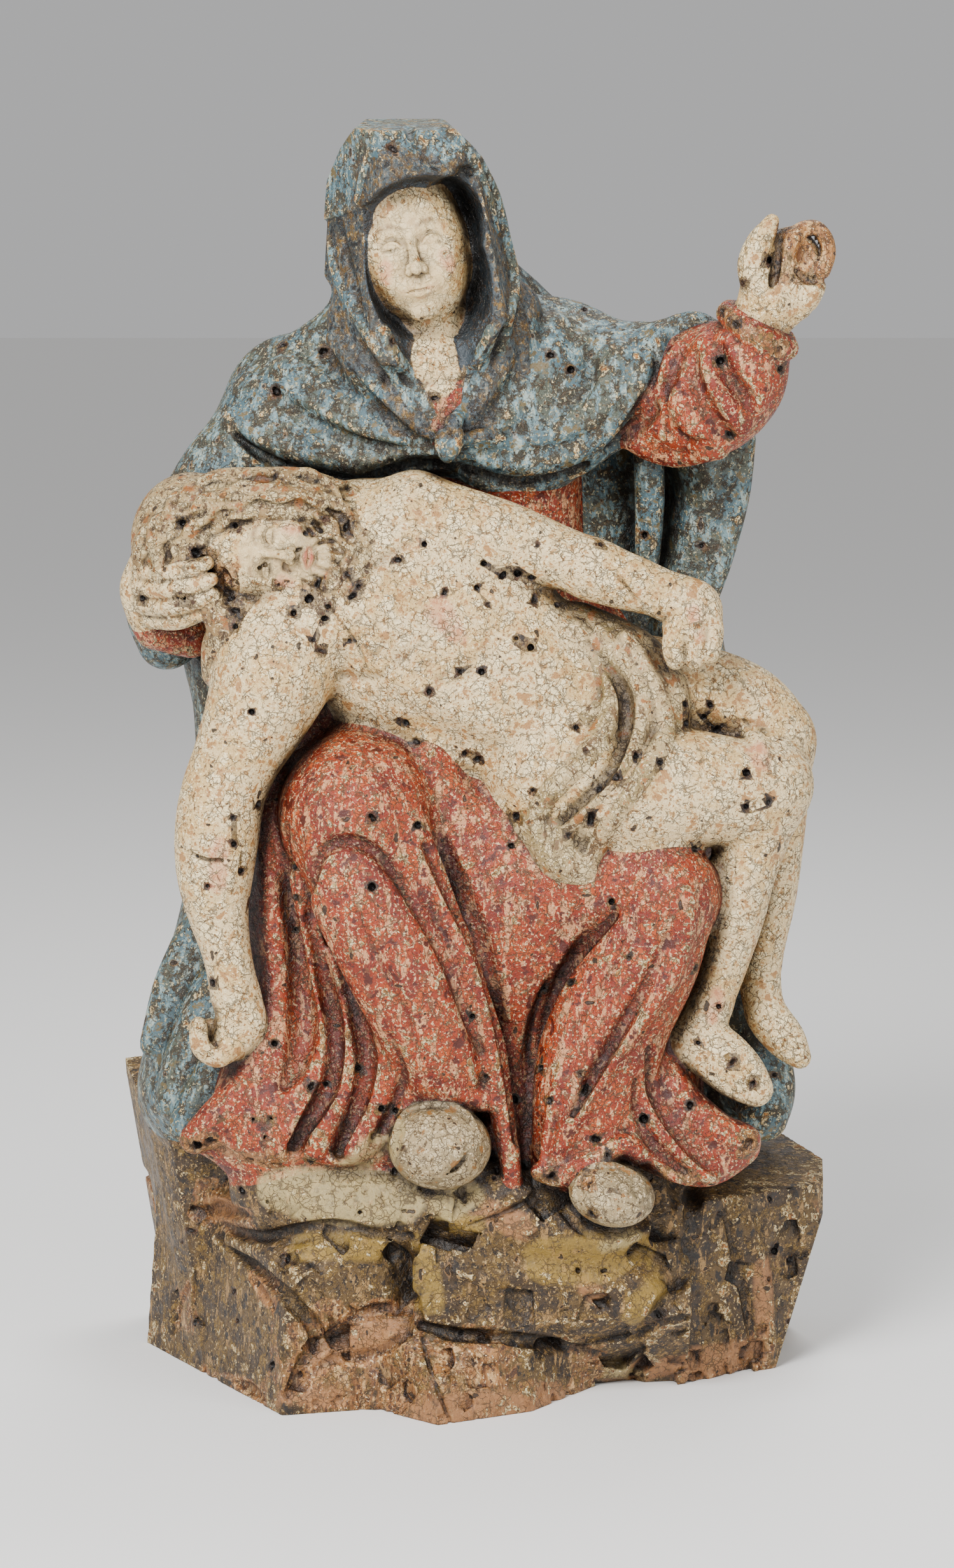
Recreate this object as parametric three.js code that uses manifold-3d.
import * as THREE from 'three';
import Module from 'manifold-3d';
import { mergeVertices } from 'three/addons/utils/BufferGeometryUtils.js';

// Driving dimensions, in millimetres.
const HEIGHT = 600; // underside of the rock to the top of the hood
const CARVING_STEP = 3; // spacing of the samples that the surface is drawn from
const FACE_COUNT = 9400; // triangles left after thinning
const SAW_DEPTH = 6; // how far the rock ran on below the saw cut of the underside
const PIECES = 4; // straight pieces from one point of a bar to the next

// Everything below is in thousandths of the height: x to the viewer's right, y away from the viewer, z up.
const THOUSANDTH = HEIGHT / 1000;
const STEP = CARVING_STEP / THOUSANDTH;
const SAWN = SAW_DEPTH / THOUSANDTH;

// The carver's front drawing: across and up, as seen from this far away and this much from above.
const SIGHT = { distance: 3333, fall: THREE.MathUtils.degToRad(8), aim: 473.4 };
const DRAWING = { centre: 488.8, scale: 1.0435 };
const eye = [0, -SIGHT.distance * Math.cos(SIGHT.fall), SIGHT.aim + SIGHT.distance * Math.sin(SIGHT.fall)];

// The line of sight through a place on the drawing, as a step whose y is 1.
function sightLine(across, up) {
  const rise = (up - DRAWING.centre) * DRAWING.scale;
  const alongY = SIGHT.distance * Math.cos(SIGHT.fall) + rise * Math.sin(SIGHT.fall);
  const alongZ = rise * Math.cos(SIGHT.fall) - SIGHT.distance * Math.sin(SIGHT.fall);
  return [(across * DRAWING.scale) / alongY, 1, alongZ / alongY];
}

// The place behind a point of the drawing at a given depth.
function atDepth(across, up, y) {
  const line = sightLine(across, up);
  const reach = y - eye[1];
  return [eye[0] + line[0] * reach, y, eye[2] + line[2] * reach];
}

// The carving so far: forms in the order in which they are added or cut away.
const forms = [];
const FAR = 14;

function smoothLeast(a, b, k) {
  if (k <= 0) return Math.min(a, b);
  const h = Math.max(k - Math.abs(a - b), 0) / k;
  return Math.min(a, b) - h * h * k * 0.25;
}

function fieldAt(x, y, z, among = forms) {
  let d = FAR;
  for (const f of among) {
    if (x < f.lo[0] || y < f.lo[1] || z < f.lo[2] || x > f.hi[0] || y > f.hi[1] || z > f.hi[2]) continue;
    const e = f.distance(x, y, z);
    d = f.cut ? -smoothLeast(-d, e, f.blend) : smoothLeast(d, e, f.blend);
  }
  return d;
}

function addForm(lo, hi, distance, blend, cut) {
  const margin = blend + STEP + 2;
  forms.push({ lo: lo.map((v) => v - margin), hi: hi.map((v) => v + margin), distance, blend, cut });
}

// A smooth run through points that each hold any number of values.
function smoothRun(points, pieces) {
  if (points.length < 3) return points;
  const run = [];
  const at = (i) => points[Math.min(Math.max(i, 0), points.length - 1)];
  for (let i = 0; i < points.length - 1; i++) {
    for (let s = 0; s < pieces; s++) {
      const t = s / pieces;
      const [a, b, c, d] = [at(i - 1), at(i), at(i + 1), at(i + 2)];
      run.push(b.map((_, n) => {
        const bend = 2 * a[n] - 5 * b[n] + 4 * c[n] - d[n];
        const twist = 3 * b[n] - a[n] - 3 * c[n] + d[n];
        return 0.5 * (2 * b[n] + (c[n] - a[n]) * t + bend * t * t + twist * t * t * t);
      }));
    }
  }
  run.push(points[points.length - 1]);
  return run;
}

// A tapering round bar through world points [x, y, z, radius], squeezed in depth by flat.
function bar(run, blend, flat, cut) {
  const lo = [Infinity, Infinity, Infinity];
  const hi = [-Infinity, -Infinity, -Infinity];
  for (const [x, y, z, r] of run) {
    const reach = [r, r * flat, r];
    [x, y, z].forEach((v, n) => {
      lo[n] = Math.min(lo[n], v - reach[n]);
      hi[n] = Math.max(hi[n], v + reach[n]);
    });
  }
  const squeeze = 1 / flat;
  const links = run.slice(1).map((b, i) => {
    const a = run[i];
    const along = [b[0] - a[0], (b[1] - a[1]) * squeeze, b[2] - a[2]];
    return { a, along, widen: b[3] - a[3], square: along[0] ** 2 + along[1] ** 2 + along[2] ** 2 || 1e-9 };
  });
  const distance = (x, y, z) => {
    let least = Infinity;
    for (const { a, along, widen, square } of links) {
      const px = x - a[0];
      const py = (y - a[1]) * squeeze;
      const pz = z - a[2];
      const t = Math.min(Math.max((px * along[0] + py * along[1] + pz * along[2]) / square, 0), 1);
      const [ox, oy, oz] = [px - along[0] * t, py - along[1] * t, pz - along[2] * t];
      const d = Math.sqrt(ox * ox + oy * oy + oz * oz) - a[3] - widen * t;
      if (d < least) least = d;
    }
    return least * (flat < 1 ? Math.sqrt(flat) : 1);
  };
  addForm(lo, hi, distance, blend, cut);
}

const placed = (points) => points.map(([across, up, y, r]) => [...atDepth(across, up, y), r]);

function limb(blend, ...points) {
  bar(smoothRun(placed(points), PIECES), blend, 1, false);
}
function slab(blend, flat, ...points) {
  bar(smoothRun(placed(points), PIECES), blend, flat, false);
}
function hollow(blend, ...points) {
  bar(smoothRun(placed(points), PIECES), blend, 1, true);
}

// An egg shape: radii across, in depth and up, turned by degrees about the line of sight, x and z.
function egg(blend, centre, radii, [roll = 0, nod = 0, yaw = 0] = [], cut = false) {
  const [cx, cy, cz] = centre;
  const turns = [nod, roll, yaw].map((v) => THREE.MathUtils.degToRad(v));
  const spin = new THREE.Matrix4().makeRotationFromEuler(new THREE.Euler(...turns, 'YXZ'));
  const m = spin.clone().transpose().elements;
  const reach = Math.max(...radii);
  addForm(centre.map((v) => v - reach), centre.map((v) => v + reach), (x, y, z) => {
    const px = x - cx;
    const py = y - cy;
    const pz = z - cz;
    const qx = (m[0] * px + m[4] * py + m[8] * pz) / radii[0];
    const qy = (m[1] * px + m[5] * py + m[9] * pz) / radii[1];
    const qz = (m[2] * px + m[6] * py + m[10] * pz) / radii[2];
    const near = Math.hypot(qx, qy, qz);
    const steep = Math.hypot(qx / radii[0], qy / radii[1], qz / radii[2]);
    return steep > 1e-9 ? (near * (near - 1)) / steep : -Math.min(...radii);
  }, blend, cut);
}
function lump(blend, [across, up, y], radii, ...turn) {
  egg(blend, atDepth(across, up, y), radii, turn);
}
function scoop(blend, [across, up, y], radii, ...turn) {
  egg(blend, atDepth(across, up, y), radii, turn, true);
}

// A rock with flat faces, each given by the way it faces (degrees to the right, degrees up) and its distance.
function rock(blend, centre, ...faces) {
  const reach = 1.3 * Math.max(...faces.map((f) => f[2]));
  const planes = faces.map(([side, rise, out]) => {
    const [a, e] = [THREE.MathUtils.degToRad(side), THREE.MathUtils.degToRad(rise)];
    return [Math.sin(a) * Math.cos(e), -Math.cos(a) * Math.cos(e), Math.sin(e), out];
  });
  addForm(centre.map((v) => v - reach), centre.map((v) => v + reach), (x, y, z) => {
    let most = -Infinity;
    for (const [nx, ny, nz, out] of planes) {
      most = Math.max(most, nx * (x - centre[0]) + ny * (y - centre[1]) + nz * (z - centre[2]) - out);
    }
    return most;
  }, blend, false);
}

// The same, with its middle given as a place on the drawing.
function block(blend, [across, up, y], ...faces) {
  rock(blend, atDepth(across, up, y), ...faces);
}

// Where the line of sight through a place on the drawing first meets the carving.
function onFace(across, up) {
  const line = sightLine(across, up);
  const slant = Math.hypot(...line);
  let y = -260;
  for (let n = 0; n < 160 && y < 200; n++) {
    const reach = y - eye[1];
    const d = fieldAt(eye[0] + line[0] * reach, y, eye[2] + line[2] * reach);
    if (d < 0.3) break;
    y += (0.7 * d) / slant;
  }
  return y;
}

// A run of [across, up, radius] laid on the surface, sunk into it by a share of its radius.
function laid(points, sink) {
  const run = smoothRun(points, PIECES);
  const depths = run.map(([across, up]) => onFace(across, up));
  return run.map(([across, up, r], n) => {
    const [before, after] = [depths[Math.max(n - 1, 0)], depths[Math.min(n + 1, run.length - 1)]];
    const y = Math.min(0.25 * before + 0.5 * depths[n] + 0.25 * after, depths[n] + 6) + sink * r;
    return [...atDepth(across, up, y), r];
  });
}

// A raised fold that lies on the surface, and a groove cut into it, drawn as [across, up, radius].
function ridge(blend, sink, ...points) {
  bar(laid(points, sink), blend, 1, false);
}
function groove(blend, sink, ...points) {
  bar(laid(points, sink), blend, 1, true);
}

// The rock: a column on the left, broken blocks in front with a step under the middle one, a column on the
// right, and the worn mounds that the feet stand on.
function rocks() {
  rock(6, [0, 55, 70], [0, 2, 105], [90, 0, 200], [180, 0, 88], [-90, 0, 190], [0, 90, 80],
    [0, -90, 90]);
  rock(6, [-200, 70, 100], [-78, -9, 60], [-62, -5, 73], [-14, 4, 100], [90, 0, 60], [180, 0, 76],
    [-30, 78, 114], [0, -90, 120]);
  rock(7, [-165, -70, 70], [-60, 4, 29], [14, 3, 88], [90, 0, 100], [180, 0, 120], [-24, 53, 70],
    [-10, 80, 72], [0, -90, 90]);
  rock(7, [50, -60, 80], [8, 5, 80], [15, 37, 80], [10, -40, 69], [0, 88, 100], [-90, 0, 100],
    [90, 0, 118], [180, 0, 150], [0, -90, 100]);
  rock(8, [0, -90, 25], [-41, 4, 91], [27, 4, 71], [54, 4, 68], [0, 52, 66], [180, 0, 80],
    [-90, 0, 95], [0, -90, 45]);
  rock(6, [215, 10, 75], [31, -4, 51], [82, -16, 51], [86, 0, 66], [60, 4, 70], [112, 0, 78],
    [20, 86, 80], [-90, 0, 56], [180, 0, 132], [0, -90, 95]);
  rock(12, [-40, 30, 150], [0, 8, 120], [90, 6, 190], [180, 0, 90], [-90, 6, 190], [-60, 4, 172],
    [0, 84, 48], [0, -80, 60]);
  lump(16, [-88, 171, -84], [105, 56, 42], 4);
  lump(16, [0, 171, -94], [70, 48, 44], 0);
  limb(6, [-51, 132, -104, 22], [-49, 85, -118, 20]);
  lump(12, [-30, 172, -108], [54, 34, 28]);
  lump(12, [49, 156, -100], [86, 44, 34], 12);
  limb(8, [24, 168, -118, 16], [-2, 139, -133, 14], [-24, 119, -138, 10]);
  groove(6, 0.1, [163, 182, 7], [165, 146, 8], [156, 110, 7], [127, 68, 5]);
}

// The mantle as it hangs behind, over the left forearm and down to the rock on both sides.
function mantleBack() {
  slab(20, 0.4, [-24, 797, 78, 110], [-17, 719, 82, 160], [-17, 651, 85, 182], [-12, 504, 85, 185],
    [-4, 358, 80, 205], [-2, 266, 75, 228]);
  limb(16, [-136, 765, 40, 46], [-183, 731, 25, 42], [-216, 685, 15, 36], [-235, 636, 10, 37],
    [-238, 599, 4, 24]);
  slab(14, 1.9, [-197, 582, 50, 24], [-187, 504, 52, 30], [-192, 407, 50, 34], [-209, 319, 44, 40],
    [-217, 261, 40, 46]);
  slab(14, 1.7, [161, 787, 60, 46], [175, 729, 66, 35], [169, 675, 66, 31], [157, 626, 66, 30],
    [163, 553, 66, 36], [175, 456, 66, 40], [185, 358, 62, 40], [202, 270, 56, 42]);
  limb(8, [131, 753, 14, 12], [133, 709, 18, 12], [131, 660, 24, 10]);
  limb(8, [202, 753, 20, 12], [197, 709, 24, 12], [185, 660, 26, 11], [173, 626, 26, 10]);
  limb(12, [207, 309, 15, 26], [219, 261, -10, 26], [219, 234, -30, 20]);
  limb(8, [-217, 373, 0, 15], [-233, 334, -6, 16], [-246, 290, -12, 13]);
  limb(8, [-202, 329, -28, 17], [-221, 280, -36, 18], [-234, 244, -44, 13]);
  limb(8, [-184, 309, -45, 18], [-200, 266, -56, 18], [-224, 227, -62, 13]);
}

// The back of the mantle: the round of the head, and long upright folds.
function mantleRear() {
  limb(24, [-44, 914, 34, 62], [-38, 855, 44, 70], [-32, 797, 56, 84]);
  slab(20, 0.6, [-136, 777, 50, 60], [-151, 699, 54, 60], [-171, 602, 56, 56]);
  limb(22, [-49, 880, 96, 18], [-56, 748, 128, 26], [-67, 553, 136, 28], [-78, 358, 132, 30],
    [-88, 212, 128, 30]);
  limb(20, [5, 816, 104, 16], [19, 651, 134, 24], [29, 456, 136, 26], [44, 236, 130, 30]);
  limb(20, [-132, 777, 80, 16], [-151, 626, 108, 22], [-161, 456, 112, 24], [-180, 261, 106, 28]);
  limb(20, [102, 777, 84, 16], [117, 626, 106, 22], [132, 431, 110, 24], [151, 251, 104, 28]);
}

// The folded rims beside the face and down to the knot.
function hoodSides() {
  ridge(3, 0.5, [1, 967, 4], [13, 938, 6], [21, 904, 6], [27, 875, 6], [23, 845, 5], [18, 821, 4]);
  ridge(4, 0.6, [-72, 836, 5], [-61, 814, 6], [-46, 789, 6], [-30, 767, 5]);
  ridge(4, 0.6, [11, 836, 5], [3, 814, 6], [-7, 789, 6], [-16, 767, 5]);
  groove(1.5, -0.1, [-16, 959, 3], [-6, 959, 5], [1, 959, 3]);
  groove(3, -0.4, [-105, 919, 3], [-101, 894, 5], [-95, 870, 5], [-90, 845, 3]);
}

// The dress over the lap: the two knees, and the cloth that hangs between and beside them.
function dressBody() {
  slab(14, 0.5, [15, 543, 25, 125], [12, 431, 22, 145], [7, 334, 16, 158], [5, 246, 8, 175]);
  slab(14, 0.6, [-132, 543, -10, 50], [-24, 514, -16, 70], [73, 480, -20, 70], [136, 465, -20, 55]);
  limb(18, [-44, 468, 20, 74], [-73, 474, -40, 70], [-92, 469, -84, 60]);
  limb(16, [63, 436, 25, 72], [112, 422, -45, 56], [144, 403, -98, 42]);
  limb(10, [-93, 460, -88, 58], [-68, 387, -100, 46], [-41, 309, -104, 42], [-24, 261, -104, 34]);
  slab(8, 0.8, [144, 407, -104, 40], [127, 358, -104, 46], [102, 309, -104, 48], [88, 261, -104, 48],
    [80, 217, -106, 44]);
  slab(12, 0.6, [-10, 446, -74, 50], [39, 414, -84, 54], [88, 412, -92, 48], [127, 422, -98, 40]);
  slab(10, 0.6, [30, 397, -84, 62], [28, 358, -86, 50], [30, 314, -80, 36], [30, 266, -78, 32],
    [27, 217, -94, 30]);
  slab(12, 0.55, [-133, 475, -58, 40], [-134, 397, -62, 46], [-130, 329, -68, 52],
    [-134, 270, -80, 60], [-144, 229, -92, 64]);
  slab(12, 0.55, [119, 329, -66, 28], [120, 290, -78, 26], [139, 244, -94, 28], [163, 216, -102, 30]);
  slab(10, 0.6, [-73, 290, -88, 60], [-70, 251, -96, 58], [-73, 224, -100, 46]);
}

// The long folds of the dress, from the lap down to the hem.
function dressFolds() {
  limb(6, [-148, 490, -70, 12], [-156, 456, -72, 13], [-157, 417, -74, 13], [-154, 373, -78, 13],
    [-152, 329, -84, 14], [-159, 290, -94, 16], [-175, 256, -104, 17], [-199, 231, -110, 16],
    [-216, 217, -112, 12]);
  limb(4, [-140, 480, -92, 8], [-138, 441, -96, 8], [-134, 407, -98, 8], [-126, 373, -100, 8],
    [-120, 339, -101, 8], [-116, 305, -103, 8.5], [-115, 280, -106, 9], [-123, 253, -112, 11],
    [-138, 231, -116, 13], [-156, 210, -122, 12]);
  limb(8, [-136, 266, -96, 18], [-153, 239, -104, 22], [-173, 219, -110, 18]);
  limb(4, [-112, 358, -98, 8], [-106, 324, -101, 9], [-102, 290, -105, 10], [-102, 266, -110, 11],
    [-110, 241, -116, 12], [-119, 222, -122, 12], [-124, 208, -126, 9]);
  limb(4, [-79, 319, -104, 8], [-71, 290, -109, 9], [-70, 266, -114, 10], [-77, 244, -120, 11],
    [-86, 226, -126, 11], [-95, 208, -130, 9]);
  limb(6, [-54, 285, -124, 9], [-40, 266, -128, 10], [-17, 255, -130, 10], [3, 246, -128, 9]);
  slab(6, 0.55, [-106, 434, -132, 26], [-92, 402, -136, 36], [-66, 358, -138, 40],
    [-42, 309, -134, 38], [-24, 275, -128, 30]);
  limb(8, [-67, 502, -104, 16], [-49, 451, -120, 13], [-30, 407, -124, 12], [-13, 368, -125, 12],
    [3, 324, -124, 12], [14, 280, -122, 12], [19, 241, -122, 11], [24, 207, -128, 9],
    [27, 188, -132, 7]);
  limb(8, [-38, 509, -84, 16], [-11, 465, -84, 15], [19, 429, -88, 14], [54, 411, -98, 14],
    [93, 414, -106, 13]);
  ridge(5, 0.35, [160, 407, 6], [161, 383, 8], [150, 348, 9], [132, 319, 9], [106, 285, 9],
    [83, 249, 9], [65, 214, 8], [56, 190, 6]);
  limb(6, [136, 309, -80, 10], [141, 278, -90, 12], [158, 246, -102, 15], [183, 224, -110, 15],
    [207, 216, -112, 11]);
  limb(6, [122, 270, -106, 12], [133, 236, -116, 14], [153, 208, -124, 14], [179, 190, -130, 9]);
  limb(6, [117, 246, -118, 10], [127, 219, -126, 11], [144, 197, -130, 10], [161, 188, -132, 7]);
  limb(5, [49, 192, -134, 8], [66, 189, -138, 9], [88, 199, -140, 10], [110, 212, -138, 9],
    [124, 205, -134, 8]);
  groove(5, 0.3, [-38, 441, 5], [-17, 399, 8], [3, 359, 9], [18, 312, 9], [27, 261, 8], [31, 217, 5]);
  groove(5, 0.3, [105, 387, 4], [78, 358, 7], [55, 324, 9], [43, 280, 9], [38, 231, 8], [37, 197, 5]);
  groove(4, 0.2, [-127, 378, 5], [-118, 344, 7], [-111, 314, 8], [-109, 285, 8], [-113, 258, 8],
    [-125, 236, 8], [-140, 212, 6]);
  groove(5, 0.0, [-146, 456, 4], [-144, 407, 6], [-138, 368, 8], [-134, 329, 11], [-134, 295, 12],
    [-140, 270, 10], [-148, 258, 6]);
  groove(4, 0.3, [-98, 329, 5], [-90, 305, 8], [-85, 275, 9], [-90, 249, 8], [-98, 224, 7],
    [-105, 207, 5]);
  groove(4, 0.0, [-67, 295, 3], [-58, 266, 5], [-62, 244, 5], [-72, 224, 4]);
  groove(4, -0.2, [146, 373, 3], [132, 339, 5], [112, 305, 6], [91, 268, 6], [73, 236, 4]);
  groove(4, 0.2, [133, 285, 4], [135, 256, 7], [149, 229, 7], [169, 206, 7], [188, 190, 5]);
  groove(4, 0.1, [122, 261, 3], [124, 234, 5], [137, 209, 6], [159, 192, 5]);
}

// The line cut round the panel of cloth that hangs from the near knee.
function panelEdges() {
  groove(4, 0.1, [-128, 383, 4], [-128, 412, 6], [-119, 436, 6], [-102, 445, 6], [-80, 439, 6],
    [-62, 421, 6], [-45, 392, 6], [-24, 356, 6], [-9, 314, 5], [3, 283, 3]);
}

// The tips of the two shoes.
function shoes() {
  lump(4, [-28, 211, -132], [40, 42, 33]);
  lump(4, [103, 175, -138], [34, 38, 25], 12);
}

// The mother's chest and shoulders under the short cape.
function motherBody() {
  slab(10, 0.72, [24, 563, 35, 80], [24, 621, 26, 60], [23, 670, 22, 58], [15, 729, 20, 66]);
  limb(8, [-29, 836, 2, 40], [-32, 802, -10, 44]);
  slab(14, 0.75, [-44, 787, 14, 52], [-93, 780, 14, 50], [-136, 777, 18, 40], [-161, 777, 22, 30]);
  slab(14, 0.75, [-5, 792, 14, 54], [49, 789, 8, 58], [93, 797, 4, 46], [127, 816, 0, 28]);
  slab(8, 0.8, [63, 777, -8, 36], [97, 785, -14, 32], [124, 806, -16, 24], [142, 831, -12, 14]);
  slab(12, 0.75, [-29, 787, 6, 56], [-24, 763, -22, 36]);
  slab(12, 0.75, [-68, 757, -18, 36], [-112, 753, -6, 34], [-156, 760, 8, 28]);
  slab(12, 0.75, [15, 752, -20, 38], [63, 758, -14, 38], [105, 785, -8, 28]);
  slab(12, 0.8, [-83, 875, 14, 22], [-96, 836, 20, 28], [-132, 809, 28, 28]);
  slab(12, 0.8, [6, 880, 16, 24], [24, 843, 20, 28], [71, 828, 22, 32], [115, 813, 14, 24]);
  slab(10, 1.0, [-90, 845, -16, 26], [-75, 811, -22, 28], [-52, 779, -30, 26], [-29, 753, -38, 18]);
  slab(10, 1.0, [24, 850, -12, 26], [18, 816, -20, 28], [3, 781, -30, 24], [-17, 753, -38, 18]);
}

// The edge of the cape, its shallow folds, and the knot that holds it.
function capeFolds() {
  groove(2, 0.2, [-180, 757, 7], [-161, 741, 8], [-132, 729, 8], [-93, 725, 8], [-54, 732, 8],
    [-29, 734, 8]);
  groove(2, 0.2, [-7, 730, 8], [24, 721, 8], [54, 723, 8], [80, 731, 8]);
  groove(3, -0.1, [156, 824, 7], [144, 797, 9], [128, 771, 10], [104, 747, 8]);
  ridge(4, 0.65, [-187, 769, 8], [-161, 752, 8], [-132, 741, 8], [-93, 737, 8], [-54, 745, 7],
    [-29, 748, 6]);
  ridge(4, 0.65, [-12, 744, 7], [19, 734, 8], [49, 735, 9], [76, 744, 9], [99, 762, 9],
    [118, 786, 9], [133, 813, 8], [141, 835, 7]);
  ridge(8, 0.66, [-146, 806, 11], [-117, 791, 13], [-88, 770, 12], [-54, 754, 9], [-30, 748, 6]);
  ridge(6, 0.6, [-108, 831, 8], [-90, 806, 9], [-70, 785, 9], [-46, 762, 7], [-27, 750, 5]);
  ridge(8, 0.66, [59, 838, 12], [55, 809, 13], [34, 781, 12], [10, 762, 9], [-11, 753, 5]);
  ridge(8, 0.7, [110, 816, 11], [95, 791, 13], [68, 770, 12], [34, 757, 10], [-5, 752, 5]);
  groove(6, -0.3, [-156, 787, 4], [-122, 764, 8], [-93, 751, 8], [-63, 747, 6], [-34, 746, 3]);
  groove(5, -0.2, [-96, 802, 3], [-73, 772, 7], [-49, 753, 5], [-29, 748, 3]);
  groove(6, -0.3, [86, 826, 4], [83, 797, 8], [58, 772, 8], [19, 756, 5]);
  groove(5, -0.2, [34, 826, 3], [31, 802, 7], [15, 777, 6], [-5, 760, 4]);
  lump(2, [-21, 747, -68], [12, 12, 13]);
  ridge(2, 0.3, [-11, 753, 5], [5, 756, 6], [21, 753, 4]);
  lump(2, [-19, 764, -62], [7, 8, 9]);
}

// The hood: flat planes that meet in a ridge, the hollow that frames the face, and the stiff brim over it.
function hood() {
  block(9, [-49, 960, 0], [0, 84, 33.5], [-90, 37, 53], [-90, 24, 55.5], [-90, 4, 64], [-55, 0, 66],
    [0, 4, 60], [72, 12, 64], [90, 46, 43], [90, 25, 49], [90, 13, 58], [180, 4, 50], [180, 42, 52],
    [130, 12, 56], [-130, 12, 58], [-90, -34, 104], [90, -35, 126], [0, -90, 150]);
  scoop(1.5, [-38, 880, -84], [49, 76, 70], -18);
  scoop(1.5, [-27, 918, -84], [35, 74, 42]);
  hollow(1.5, [-29, 855, -78, 42], [-27, 821, -80, 38], [-24, 792, -80, 25], [-21, 766, -82, 9]);
  block(4, [-49, 960, 0], [0, 84, 36.5], [-90, 37, 54], [-90, 24, 57.5], [-90, 5, 66],
    [-55, 0, 69.5], [12, 22, 77], [62, 10, 68], [90, 46, 44.5], [90, 25, 50.5], [90, 17, 55.5],
    [90, -71, 14.3], [180, 4, 36], [180, 42, 48], [130, 12, 52], [-130, 12, 54]);
  scoop(1, [-51, 923, -84], [46, 40, 29], -21);
}

// The mother's neck and head, and the neckline of the dress.
function motherHead() {
  limb(6, [-34, 826, -6, 34], [-38, 855, -14, 31]);
  limb(6, [-36, 809, -26, 30], [-29, 797, -30, 26]);
  lump(5, [-50, 900, -18], [44, 50, 57], -11);
  lump(10, [-63, 890, -36], [25, 32, 40], -11);
  lump(10, [-31, 893, -36], [25, 32, 40], -11);
  lump(9, [-39, 867, -36], [28, 32, 32], -11);
  limb(3, [-50, 904, -68, 3.5], [-45, 883, -77, 5]);
  lump(5, [-38, 855, -60], [9, 9, 8]);
  block(2, [-24, 777, -42], [0, 10, 13], [-60, 0, 16], [60, 0, 16], [0, 90, 22], [180, 0, 30],
    [0, -80, 30]);
  groove(3, -0.5, [-70, 801, 5], [-49, 797, 6], [-24, 797, 6], [-3, 803, 5]);
}

// The cuff and the raised hand, whose fingers are broken off and curled over.
function raisedArm() {
  limb(2, [193, 849, -44, 10], [205, 839, -60, 12], [221, 828, -64, 12], [237, 823, -52, 10]);
  limb(2, [194, 850, -34, 10], [214, 846, -24, 10], [235, 828, -36, 10]);
  scoop(1, [216, 842, -46], [22, 18, 12], 28);
  limb(4, [211, 824, -44, 18], [217, 845, -48, 21], [224, 860, -52, 24]);
  slab(4, 0.55, [225, 854, -54, 24], [232, 870, -56, 29], [238, 888, -56, 27]);
  limb(3, [214, 870, -62, 12], [211, 887, -64, 12], [216, 903, -66, 10.5], [223, 915, -68, 7.5],
    [226, 921, -68, 5.5]);
  limb(3, [234, 880, -60, 12], [238, 896, -60, 10], [241, 908, -58, 8]);
  limb(3, [251, 862, -60, 12], [258, 870, -62, 9], [248, 855, -58, 10]);
  limb(1.5, [242, 905, -62, 9], [249, 913, -60, 7], [260, 915, -60, 6], [268, 906, -62, 6],
    [269, 894, -62, 6], [264, 883, -62, 7]);
  scoop(1.5, [253, 895, -82], [12, 19, 17], 14);
  groove(2, -0.2, [232, 908, 2.5], [230, 892, 4], [227, 875, 4], [221, 860, 2.5]);
  groove(2, -0.2, [245, 883, 2.5], [252, 876, 4], [259, 875, 3]);
  limb(4, [139, 816, 0, 16], [150, 834, -10, 13], [168, 842, -14, 10], [183, 838, -16, 6]);
}

// The son's body, lying across the lap.
function sonTorso() {
  slab(14, 0.6, [-93, 655, -46, 68], [-63, 624, -54, 90], [-24, 597, -60, 90], [19, 568, -62, 80],
    [63, 538, -58, 76], [93, 524, -52, 70]);
  limb(14, [-48, 695, -56, 32], [-93, 660, -54, 44], [-136, 607, -66, 44]);
  limb(12, [-122, 656, -60, 30], [-88, 651, -58, 38]);
  lump(14, [-40, 666, -86], [46, 18, 30], 34);
  lump(14, [-78, 621, -98], [42, 17, 32], 34);
  lump(16, [24, 568, -98], [44, 14, 40], 34);
  lump(14, [-29, 563, -104], [60, 16, 20], 30);
  groove(10, -0.55, [-68, 655, 6], [-44, 629, 10], [-15, 602, 10], [19, 577, 8]);
  groove(8, -0.6, [-78, 587, 6], [-49, 582, 9], [-15, 573, 8], [10, 597, 8], [24, 621, 5]);
  groove(4, -0.45, [-118, 585, 3], [-107, 573, 6], [-87, 569, 6], [-68, 575, 3]);
}

// The son's head, laid back.
function sonHead() {
  lump(5, [-165, 665, -64], [52, 42, 38]);
  lump(6, [-134, 658, -74], [28, 28, 27]);
}

// The nose and the beard.
function sonFace() {
  limb(5, [-184, 666, -101, 4], [-166, 664, -106, 5], [-154, 663, -109, 6]);
  limb(4, [-120, 693, -80, 8], [-108, 677, -86, 9], [-104, 655, -88, 9], [-109, 634, -84, 7]);
  limb(4, [-104, 696, -74, 8], [-95, 677, -80, 9], [-91, 657, -82, 8], [-94, 642, -80, 6]);
  limb(4, [-129, 631, -86, 7], [-117, 633, -90, 8], [-112, 648, -92, 8]);
}

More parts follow.
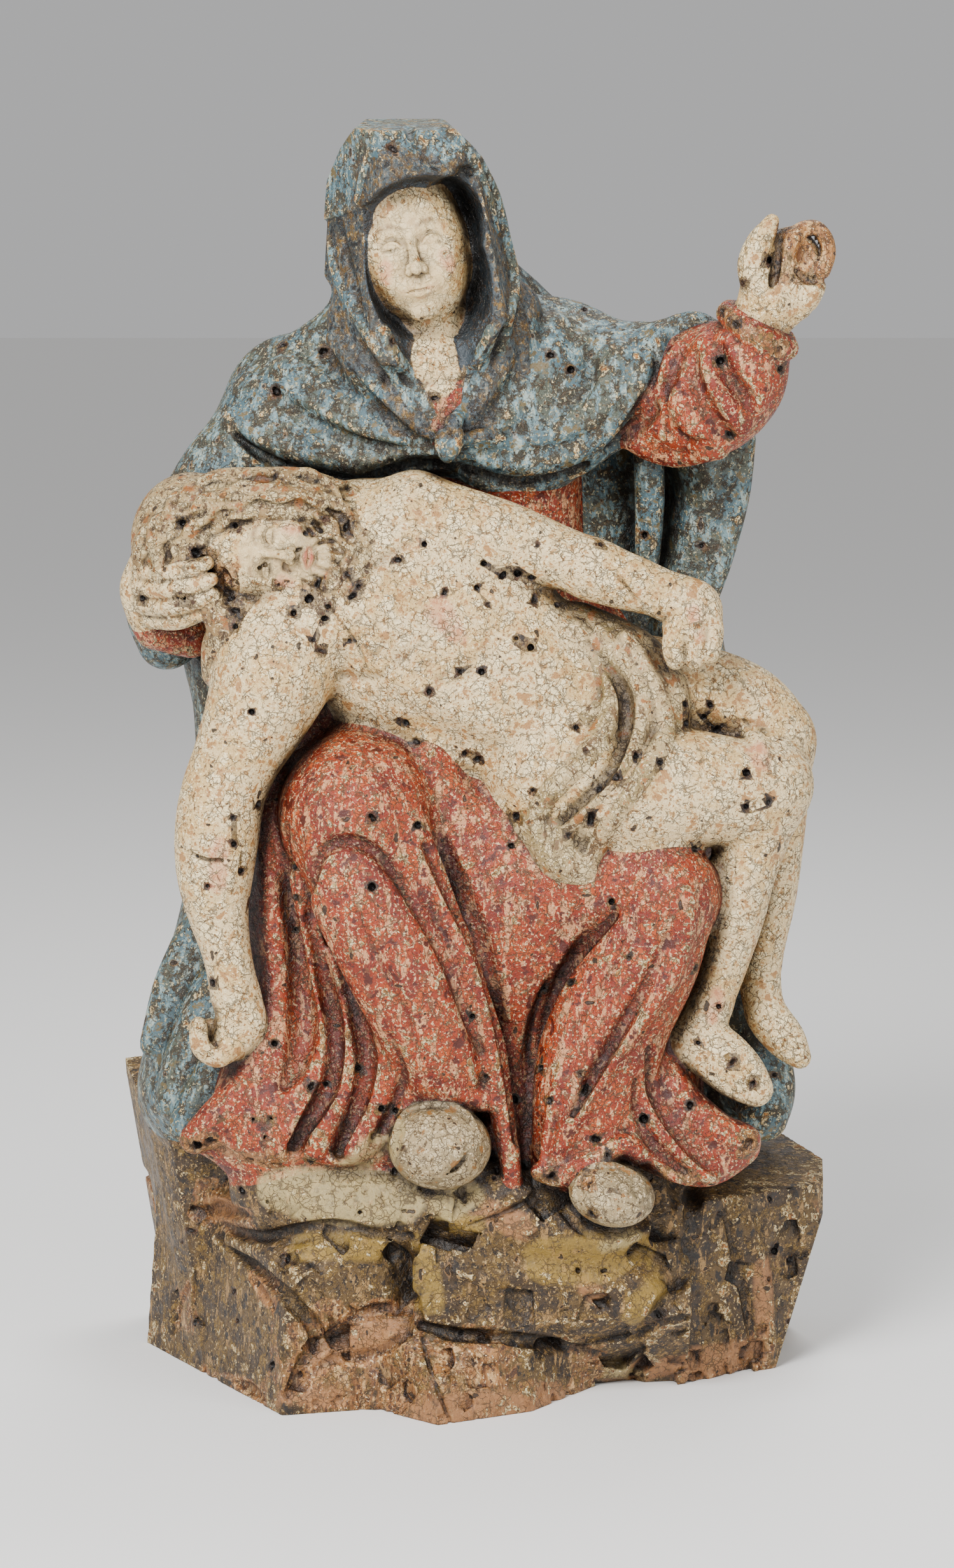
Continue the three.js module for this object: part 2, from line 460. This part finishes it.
// Wavy hair round the head and below it.
function sonHair() {
  lump(6, [-218, 675, -46], [48, 46, 54]);
  lump(6, [-171, 705, -60], [74, 38, 25], -3);
  ridge(3, 0.45, [-202, 696, 4], [-216, 687, 7], [-223, 669, 7], [-219, 651, 6]);
  ridge(3, 0.45, [-223, 705, 4], [-238, 690, 7], [-244, 670, 7], [-241, 651, 6]);
  ridge(3, 0.45, [-243, 696, 4], [-254, 679, 6], [-258, 660, 6], [-255, 643, 5]);
  ridge(3, 0.4, [-221, 715, 5], [-197, 724, 7], [-166, 725, 7], [-136, 725, 7], [-107, 718, 5]);
  ridge(3, 0.4, [-211, 701, 5], [-187, 710, 7], [-156, 711, 7], [-127, 709, 7], [-102, 700, 5]);
  ridge(3, 0.4, [-200, 689, 4], [-175, 696, 6], [-146, 697, 6], [-122, 694, 6], [-111, 681, 5]);
  limb(4, [-205, 631, -86, 12], [-194, 609, -84, 14], [-200, 592, -78, 12], [-202, 573, -70, 9]);
  limb(4, [-183, 626, -86, 10], [-171, 614, -86, 10], [-183, 604, -86, 9]);
}

// The mother's hand that holds the head.
function holdingHand() {
  limb(6, [-219, 607, -20, 22], [-246, 609, -30, 18]);
  limb(4, [-252, 620, -36, 17], [-257, 638, -42, 17], [-255, 655, -44, 13]);
  limb(2, [-257, 652, -62, 8], [-238, 651, -84, 7.5], [-219, 654, -94, 7], [-207, 658, -98, 5.5]);
  limb(2, [-257, 640, -62, 8], [-238, 638, -84, 8], [-218, 641, -95, 7.5], [-204, 646, -98, 5.5]);
  limb(2, [-255, 626, -60, 8], [-235, 625, -82, 8], [-216, 629, -92, 7], [-203, 634, -95, 5.5]);
  limb(2, [-249, 615, -54, 8], [-231, 614, -72, 8], [-213, 619, -84, 7], [-204, 624, -88, 5.5]);
}

// The arm that hangs down, with its curled fingers.
function hangingArm() {
  limb(8, [-136, 607, -68, 46], [-156, 573, -84, 46], [-170, 541, -90, 40], [-184, 509, -94, 34],
    [-195, 480, -96, 33], [-199, 451, -98, 33], [-201, 422, -99, 30], [-199, 392, -101, 24],
    [-192, 358, -104, 19], [-186, 329, -106, 19]);
  slab(5, 0.7, [-184, 326, -106, 18], [-181, 307, -108, 20], [-189, 290, -110, 15]);
  limb(3, [-187, 288, -116, 9], [-199, 279, -118, 8], [-211, 288, -118, 8], [-213, 304, -118, 7]);
  limb(3, [-188, 290, -104, 9], [-202, 284, -104, 8], [-211, 292, -104, 7], [-205, 304, -104, 6]);
}

// The arm that lies along the body, with the hand on the thigh.
function restingArm() {
  limb(8, [-48, 695, -62, 33], [-15, 687, -66, 31], [19, 677, -72, 29], [58, 664, -78, 25],
    [93, 653, -84, 22]);
  limb(6, [88, 653, -84, 24], [117, 643, -88, 22], [154, 631, -90, 17]);
  slab(5, 0.8, [150, 630, -92, 19], [166, 624, -96, 22], [164, 609, -98, 22]);
  limb(2.5, [176, 622, -100, 9], [180, 607, -106, 9], [178, 589, -108, 8]);
  limb(2.5, [168, 609, -110, 9], [168, 596, -110, 8.5], [167, 583, -108, 7]);
  limb(2.5, [154, 609, -106, 10], [151, 595, -106, 9.5], [152, 584, -106, 8]);
}

// The bent legs and the feet.
function sonLegs() {
  limb(10, [122, 556, -40, 50], [171, 558, -38, 38], [205, 546, -38, 36], [223, 524, -38, 37]);
  limb(10, [63, 499, -70, 58], [112, 485, -84, 54], [166, 485, -88, 46], [200, 484, -86, 40],
    [219, 486, -80, 37]);
  limb(8, [222, 490, -76, 36], [212, 456, -78, 30], [204, 422, -80, 26], [199, 387, -80, 22],
    [189, 348, -80, 18], [178, 319, -80, 17]);
  limb(8, [223, 517, -38, 36], [227, 460, -38, 26], [225, 407, -36, 21], [219, 363, -36, 17],
    [217, 334, -38, 15]);
  limb(6, [178, 319, -80, 17], [169, 297, -84, 20], [163, 290, -86, 16]);
  slab(6, 0.8, [169, 293, -86, 20], [183, 282, -94, 23], [200, 268, -102, 21], [213, 255, -108, 14]);
  limb(6, [217, 331, -38, 15], [222, 312, -46, 17], [236, 294, -56, 16], [248, 279, -62, 9]);
}

// The loincloth and its trailing end.
function loincloth() {
  slab(4, 0.6, [76, 599, -66, 30], [112, 570, -76, 40], [122, 538, -84, 42], [97, 504, -92, 46],
    [66, 473, -98, 40], [68, 448, -104, 28]);
  limb(4, [44, 460, -108, 12], [63, 434, -112, 17], [80, 423, -112, 13]);
  ridge(4, 0.3, [76, 609, 6], [100, 580, 7], [103, 548, 8], [88, 514, 9], [56, 482, 8], [43, 460, 6]);
  ridge(4, 0.4, [95, 606, 5], [120, 572, 6], [126, 538, 7], [110, 502, 8], [73, 463, 8], [63, 436, 6]);
  ridge(4, 0.3, [115, 602, 6], [136, 565, 7], [144, 531, 8], [134, 504, 8], [102, 460, 7],
    [85, 429, 7]);
  groove(3, 0.2, [85, 597, 4], [111, 563, 6], [113, 529, 6], [97, 495, 6], [63, 460, 5]);
}

// The wide sleeve of the raised arm, twisted in soft folds.
function sleeve() {
  limb(8, [93, 797, 20, 34], [115, 788, 10, 36], [146, 777, -8, 39], [176, 779, -22, 41],
    [199, 797, -34, 38], [212, 818, -44, 28]);
  limb(8, [151, 801, -2, 30], [175, 809, -20, 32], [200, 821, -36, 26]);
  ridge(6, 0.62, [156, 818, 8], [154, 792, 11], [166, 763, 11], [185, 745, 8]);
  ridge(6, 0.62, [175, 826, 8], [178, 804, 10], [193, 777, 10], [203, 763, 7]);
  ridge(5, 0.62, [191, 831, 7], [200, 814, 9], [214, 797, 9], [214, 779, 6]);
  ridge(6, 0.62, [110, 764, 8], [127, 749, 10], [151, 740, 9], [175, 742, 7]);
  groove(5, -0.4, [166, 818, 4], [168, 792, 8], [180, 767, 8], [193, 753, 5]);
  groove(5, -0.4, [185, 824, 4], [191, 804, 7], [206, 785, 7], [211, 772, 4]);
  groove(5, -0.4, [141, 777, 4], [146, 760, 7], [161, 750, 6], [176, 748, 4]);
}

// The spread of the hem on the rock.
function hem() {
  slab(8, 0.6, [-205, 221, -98, 18], [-171, 214, -104, 24], [-132, 214, -108, 26],
    [-93, 218, -112, 26], [-68, 227, -110, 22]);
  slab(6, 0.6, [122, 227, -104, 26], [146, 212, -110, 26], [175, 199, -114, 20], [200, 212, -104, 18]);
  ridge(3, 0.3, [-213, 212, 5], [-194, 218, 6], [-174, 208, 6], [-153, 201, 6], [-132, 206, 6],
    [-112, 202, 6], [-93, 203, 6], [-71, 218, 5]);
}

const carvingOrder = [
  rocks, mantleBack, mantleRear, dressBody, hem, dressFolds, panelEdges, shoes, sleeve,
  motherBody, capeFolds, hood, hoodSides, motherHead, sonTorso, sonLegs, sonHead, sonFace,
  sonHair, holdingHand, hangingArm, restingArm, loincloth, raisedArm,
];
carvingOrder.forEach((carve) => carve());

// Samples of the field on a grid, taken block by block so that each block only tests the forms near it.
function sampleField() {
  const lo = [-310, -215, -SAWN];
  const size = [620, 400, 1020 + SAWN].map((length) => Math.ceil(length / STEP));
  const values = new Float32Array(size[0] * size[1] * size[2]).fill(FAR);
  const side = 8;
  for (let k = 0; k < size[2]; k += side) {
    for (let j = 0; j < size[1]; j += side) {
      for (let i = 0; i < size[0]; i += side) {
        const start = [i, j, k].map((n, axis) => lo[axis] + n * STEP);
        const end = start.map((v) => v + side * STEP);
        const reaches = (f) => start.every((v, axis) => v <= f.hi[axis] && end[axis] >= f.lo[axis]);
        const near = forms.filter(reaches);
        if (!near.length) continue;
        for (let c = k; c < Math.min(k + side, size[2]); c++) {
          for (let b = j; b < Math.min(j + side, size[1]); b++) {
            for (let a = i; a < Math.min(i + side, size[0]); a++) {
              const edge = [a, b, c].some((n, axis) => n === 0 || n === size[axis] - 1);
              const d = fieldAt(lo[0] + a * STEP, lo[1] + b * STEP, lo[2] + c * STEP, near);
              values[(c * size[1] + b) * size[0] + a] = edge ? Math.max(d, 1) : d;
            }
          }
        }
      }
    }
  }
  return { lo, size, values };
}

// The six tetrahedra of a cube round its long diagonal, as corners numbered by bits x, y and z.
const TETRAHEDRA = [[0, 1, 3, 7], [0, 3, 2, 7], [0, 2, 6, 7], [0, 6, 4, 7], [0, 4, 5, 7], [0, 5, 1, 7]];

// The surface where the field is zero, as shared vertices and triangles that face out.
function drawSurface({ lo, size, values }) {
  const [nx, ny, nz] = size;
  const corner = [...Array(8).keys()].map((n) => (n & 1) + ((n >> 1) & 1) * nx + ((n >> 2) & 1) * nx * ny);
  const total = nx * ny * nz;
  const positions = [];
  const faces = [];
  const made = new Map();
  const place = (n) => {
    const [i, j, k] = [n % nx, Math.floor(n / nx) % ny, Math.floor(n / (nx * ny))];
    return [lo[0] + i * STEP, lo[1] + j * STEP, lo[2] + k * STEP];
  };
  const vertex = (p, q) => {
    const [a, b] = p < q ? [p, q] : [q, p];
    const key = a * total + b;
    if (!made.has(key)) {
      const t = Math.min(Math.max(values[a] / (values[a] - values[b]), 0.03), 0.97);
      const [from, to] = [place(a), place(b)];
      made.set(key, positions.length / 3);
      positions.push(...from.map((v, axis) => v + (to[axis] - v) * t));
    }
    return made.get(key);
  };
  for (let k = 0; k < nz - 1; k++) {
    for (let j = 0; j < ny - 1; j++) {
      for (let i = 0; i < nx - 1; i++) {
        const base = (k * ny + j) * nx + i;
        let inside = 0;
        for (const c of corner) if (values[base + c] < 0) inside++;
        if (!inside || inside === 8) continue;
        for (const four of TETRAHEDRA) {
          const at = four.map((c) => base + corner[c]);
          const within = at.filter((n) => values[n] < 0);
          const beyond = at.filter((n) => values[n] >= 0);
          if (!within.length || !beyond.length) continue;
          // Whether the corners, inside ones first, are in even order tells which way round a triangle goes.
          const order = [...within, ...beyond].map((n) => at.indexOf(n));
          const swaps = order.reduce((n, v, a) => n + order.slice(a + 1).filter((w) => v > w).length, 0);
          const add = (a, b, c) => faces.push(swaps % 2 ? [a, c, b] : [a, b, c]);
          if (within.length === 1) {
            add(...beyond.map((n) => vertex(within[0], n)));
          } else if (beyond.length === 1) {
            add(...within.map((n) => vertex(n, beyond[0])));
          } else {
            const ring = [[0, 0], [0, 1], [1, 1], [1, 0]].map(([a, b]) => vertex(within[a], beyond[b]));
            add(ring[0], ring[1], ring[2]);
            add(ring[0], ring[2], ring[3]);
          }
        }
      }
    }
  }
  return { positions, faces };
}

// Only the largest connected shell: loose crumbs and closed bubbles are dropped.
function largestShell({ positions, faces }) {
  const parent = Int32Array.from({ length: positions.length / 3 }, (_, n) => n);
  const root = (n) => {
    while (parent[n] !== n) {
      parent[n] = parent[parent[n]];
      n = parent[n];
    }
    return n;
  };
  for (const [a, b, c] of faces) {
    parent[root(a)] = root(b);
    parent[root(b)] = root(c);
  }
  const count = new Map();
  for (const [a] of faces) count.set(root(a), (count.get(root(a)) ?? 0) + 1);
  const [largest] = [...count].reduce((best, entry) => (entry[1] > best[1] ? entry : best));
  return { positions, faces: faces.filter(([a]) => root(a) === largest) };
}

// Edges collapse one by one, the flattest places first, until few enough triangles are left.
function thin({ positions, faces }, wanted) {
  const spot = Float64Array.from(positions);
  const vertexCount = spot.length / 3;
  const corners = Int32Array.from(faces.flat());
  const quadric = new Float64Array(vertexCount * 10);
  const around = Array.from({ length: vertexCount }, () => []);
  const version = new Int32Array(vertexCount);
  const seen = new Int32Array(vertexCount);
  const normal = [0, 0, 0];
  let round = 0;

  function faceNormal(f) {
    const [a, b, c] = [3 * corners[3 * f], 3 * corners[3 * f + 1], 3 * corners[3 * f + 2]];
    const [ux, uy, uz] = [spot[b] - spot[a], spot[b + 1] - spot[a + 1], spot[b + 2] - spot[a + 2]];
    const [vx, vy, vz] = [spot[c] - spot[a], spot[c + 1] - spot[a + 1], spot[c + 2] - spot[a + 2]];
    normal[0] = uy * vz - uz * vy;
    normal[1] = uz * vx - ux * vz;
    normal[2] = ux * vy - uy * vx;
    return Math.hypot(normal[0], normal[1], normal[2]);
  }
  for (let f = 0; f < faces.length; f++) {
    const size = faceNormal(f);
    for (const v of faces[f]) around[v].push(f);
    if (size < 1e-9) continue;
    const [x, y, z] = normal.map((n) => n / size);
    const a = 3 * corners[3 * f];
    const w = -(x * spot[a] + y * spot[a + 1] + z * spot[a + 2]);
    const terms = [x * x, x * y, x * z, x * w, y * y, y * z, y * w, z * z, z * w, w * w];
    for (const v of faces[f]) for (let n = 0; n < 10; n++) quadric[10 * v + n] += (terms[n] * size) / 2;
  }

  const q = new Float64Array(10);
  let [tx, ty, tz] = [0, 0, 0];
  // The best place for the vertex that an edge collapses to, and what the collapse costs.
  function plan(a, b) {
    for (let n = 0; n < 10; n++) q[n] = quadric[10 * a + n] + quadric[10 * b + n];
    const [dx, dy, dz] = [0, 1, 2].map((n) => spot[3 * a + n] - spot[3 * b + n]);
    const length = Math.hypot(dx, dy, dz);
    const mx = (spot[3 * a] + spot[3 * b]) / 2;
    const my = (spot[3 * a + 1] + spot[3 * b + 1]) / 2;
    const mz = (spot[3 * a + 2] + spot[3 * b + 2]) / 2;
    // A small pull towards the middle of the edge keeps the answer near it on flat ground.
    const pull = 1e-3 * (q[0] + q[4] + q[7]) + 1e-9;
    const [xx, xy, xz, yy, yz, zz] = [q[0] + pull, q[1], q[2], q[4] + pull, q[5], q[7] + pull];
    const [rx, ry, rz] = [pull * mx - q[3], pull * my - q[6], pull * mz - q[8]];
    const det = xx * (yy * zz - yz * yz) - xy * (xy * zz - yz * xz) + xz * (xy * yz - yy * xz);
    tx = (rx * (yy * zz - yz * yz) - xy * (ry * zz - yz * rz) + xz * (ry * yz - yy * rz)) / det;
    ty = (xx * (ry * zz - yz * rz) - rx * (xy * zz - yz * xz) + xz * (xy * rz - ry * xz)) / det;
    tz = (xx * (yy * rz - ry * yz) - xy * (xy * rz - ry * xz) + rx * (xy * yz - yy * xz)) / det;
    if (!(Math.hypot(tx - mx, ty - my, tz - mz) < 1.5 * length)) [tx, ty, tz] = [mx, my, mz];
    const cost = q[0] * tx * tx + 2 * q[1] * tx * ty + 2 * q[2] * tx * tz + 2 * q[3] * tx + q[4] * ty * ty
      + 2 * q[5] * ty * tz + 2 * q[6] * ty + q[7] * tz * tz + 2 * q[8] * tz + q[9];
    return Math.max(cost, 0) + 1e-6 * length;
  }

  // The edges in a heap with the cheapest on top: entries stay in place, and the heap holds their numbers.
  const room = faces.length * 6;
  const cost = new Float64Array(room);
  const ends = new Int32Array(2 * room);
  const dated = new Int32Array(room);
  const heap = new Int32Array(room);
  let [entries, heaped] = [0, 0];
  function push(a, b) {
    const entry = entries++;
    cost[entry] = plan(a, b);
    ends[2 * entry] = a;
    ends[2 * entry + 1] = b;
    dated[entry] = version[a] + version[b];
    let n = heaped++;
    while (n > 0 && cost[heap[(n - 1) >> 1]] > cost[entry]) {
      heap[n] = heap[(n - 1) >> 1];
      n = (n - 1) >> 1;
    }
    heap[n] = entry;
  }
  function pop() {
    const top = heap[0];
    const entry = heap[--heaped];
    let n = 0;
    for (let down = 1; down < heaped; down = 2 * n + 1) {
      if (down + 1 < heaped && cost[heap[down + 1]] < cost[heap[down]]) down++;
      if (cost[heap[down]] >= cost[entry]) break;
      heap[n] = heap[down];
      n = down;
    }
    heap[n] = entry;
    return top;
  }
  for (const face of faces) {
    face.forEach((a, n) => {
      const b = face[(n + 1) % 3];
      if (a < b) push(a, b);
    });
  }

  // Two ends may join only where exactly two other vertices are next to both.
  function shareTwo(a, b) {
    round++;
    for (const f of around[a]) for (let n = 0; n < 3; n++) seen[corners[3 * f + n]] = round;
    let shared = 0;
    for (const f of around[b]) {
      for (let n = 0; n < 3; n++) {
        const v = corners[3 * f + n];
        if (v !== a && v !== b && seen[v] === round) {
          shared++;
          seen[v] = 0;
        }
      }
    }
    return shared === 2;
  }
  const hasCorner = (f, v) => corners[3 * f] === v || corners[3 * f + 1] === v || corners[3 * f + 2] === v;
  // A face may tilt when its corner moves, but it mustn't turn over or shrink to nothing.
  function keepsSides(v, other) {
    const [x, y, z] = [spot[3 * v], spot[3 * v + 1], spot[3 * v + 2]];
    for (const f of around[v]) {
      if (hasCorner(f, other)) continue;
      const before = faceNormal(f);
      const [bx, by, bz] = normal;
      spot[3 * v] = tx;
      spot[3 * v + 1] = ty;
      spot[3 * v + 2] = tz;
      const after = faceNormal(f);
      spot[3 * v] = x;
      spot[3 * v + 1] = y;
      spot[3 * v + 2] = z;
      const along = normal[0] * bx + normal[1] * by + normal[2] * bz;
      if (after < 1e-4 || along < 0.2 * before * after) return false;
    }
    return true;
  }

  let left = faces.length;
  while (left > wanted && heaped && entries < room - 64) {
    const entry = pop();
    const [a, b] = [ends[2 * entry], ends[2 * entry + 1]];
    if (!around[a].length || !around[b].length || version[a] + version[b] !== dated[entry]) continue;
    if (!shareTwo(a, b)) continue;
    plan(a, b);
    if (!keepsSides(a, b) || !keepsSides(b, a)) continue;
    spot.set([tx, ty, tz], 3 * a);
    quadric.set(q, 10 * a);
    for (const f of around[b]) {
      if (hasCorner(f, a)) {
        left--;
        for (let n = 0; n < 3; n++) {
          const v = corners[3 * f + n];
          if (v !== b) around[v] = around[v].filter((g) => g !== f);
          corners[3 * f + n] = -1;
        }
      } else {
        for (let n = 0; n < 3; n++) if (corners[3 * f + n] === b) corners[3 * f + n] = a;
        around[a].push(f);
      }
    }
    around[b] = [];
    version[a] += 1;
    round++;
    for (const f of around[a]) {
      for (let n = 0; n < 3; n++) {
        const v = corners[3 * f + n];
        if (v !== a && seen[v] !== round) {
          seen[v] = round;
          push(a, v);
        }
      }
    }
  }

  const number = new Int32Array(vertexCount).fill(-1);
  const out = { positions: [], faces: [] };
  for (let f = 0; f < faces.length; f++) {
    if (corners[3 * f] < 0) continue;
    out.faces.push([0, 1, 2].map((n) => {
      const v = corners[3 * f + n];
      if (number[v] < 0) {
        number[v] = out.positions.length / 3;
        out.positions.push(spot[3 * v], spot[3 * v + 1], spot[3 * v + 2]);
      }
      return number[v];
    }));
  }
  return out;
}

// A closed set of triangles as a manifold solid, and back as a geometry in millimetres.
const wasm = await Module();
wasm.setup();
const solidOf = (positions, corners) => new wasm.Manifold(new wasm.Mesh({
  numProp: 3,
  vertProperties: Float32Array.from(positions),
  triVerts: Uint32Array.from(corners),
}));

// The block is sawn off level under the rock, which is what the carving stands on.
function sawLevel({ positions, faces }) {
  const plank = new THREE.BoxGeometry(800, 800, 100);
  plank.translate(0, 0, -50);
  plank.deleteAttribute('normal');
  plank.deleteAttribute('uv');
  const merged = mergeVertices(plank);
  const sawn = solidOf(merged.attributes.position.array, merged.index.array);
  const cut = solidOf(positions, faces.flat()).subtract(sawn);
  const mesh = cut.getMesh();
  const geometry = new THREE.BufferGeometry();
  geometry.setAttribute('position', new THREE.BufferAttribute(mesh.vertProperties, 3));
  geometry.setIndex(new THREE.BufferAttribute(mesh.triVerts, 1));
  geometry.scale(THOUSANDTH, THOUSANDTH, THOUSANDTH);
  geometry.computeVertexNormals();
  return geometry;
}

const carving = new THREE.Mesh(
  sawLevel(thin(largestShell(drawSurface(sampleField())), FACE_COUNT)),
  new THREE.MeshStandardMaterial({ color: '#a08468', roughness: 0.6, metalness: 0 }),
);
carving.name = 'pieta_carving';
const statue = new THREE.Group();
statue.add(carving);

export default statue;
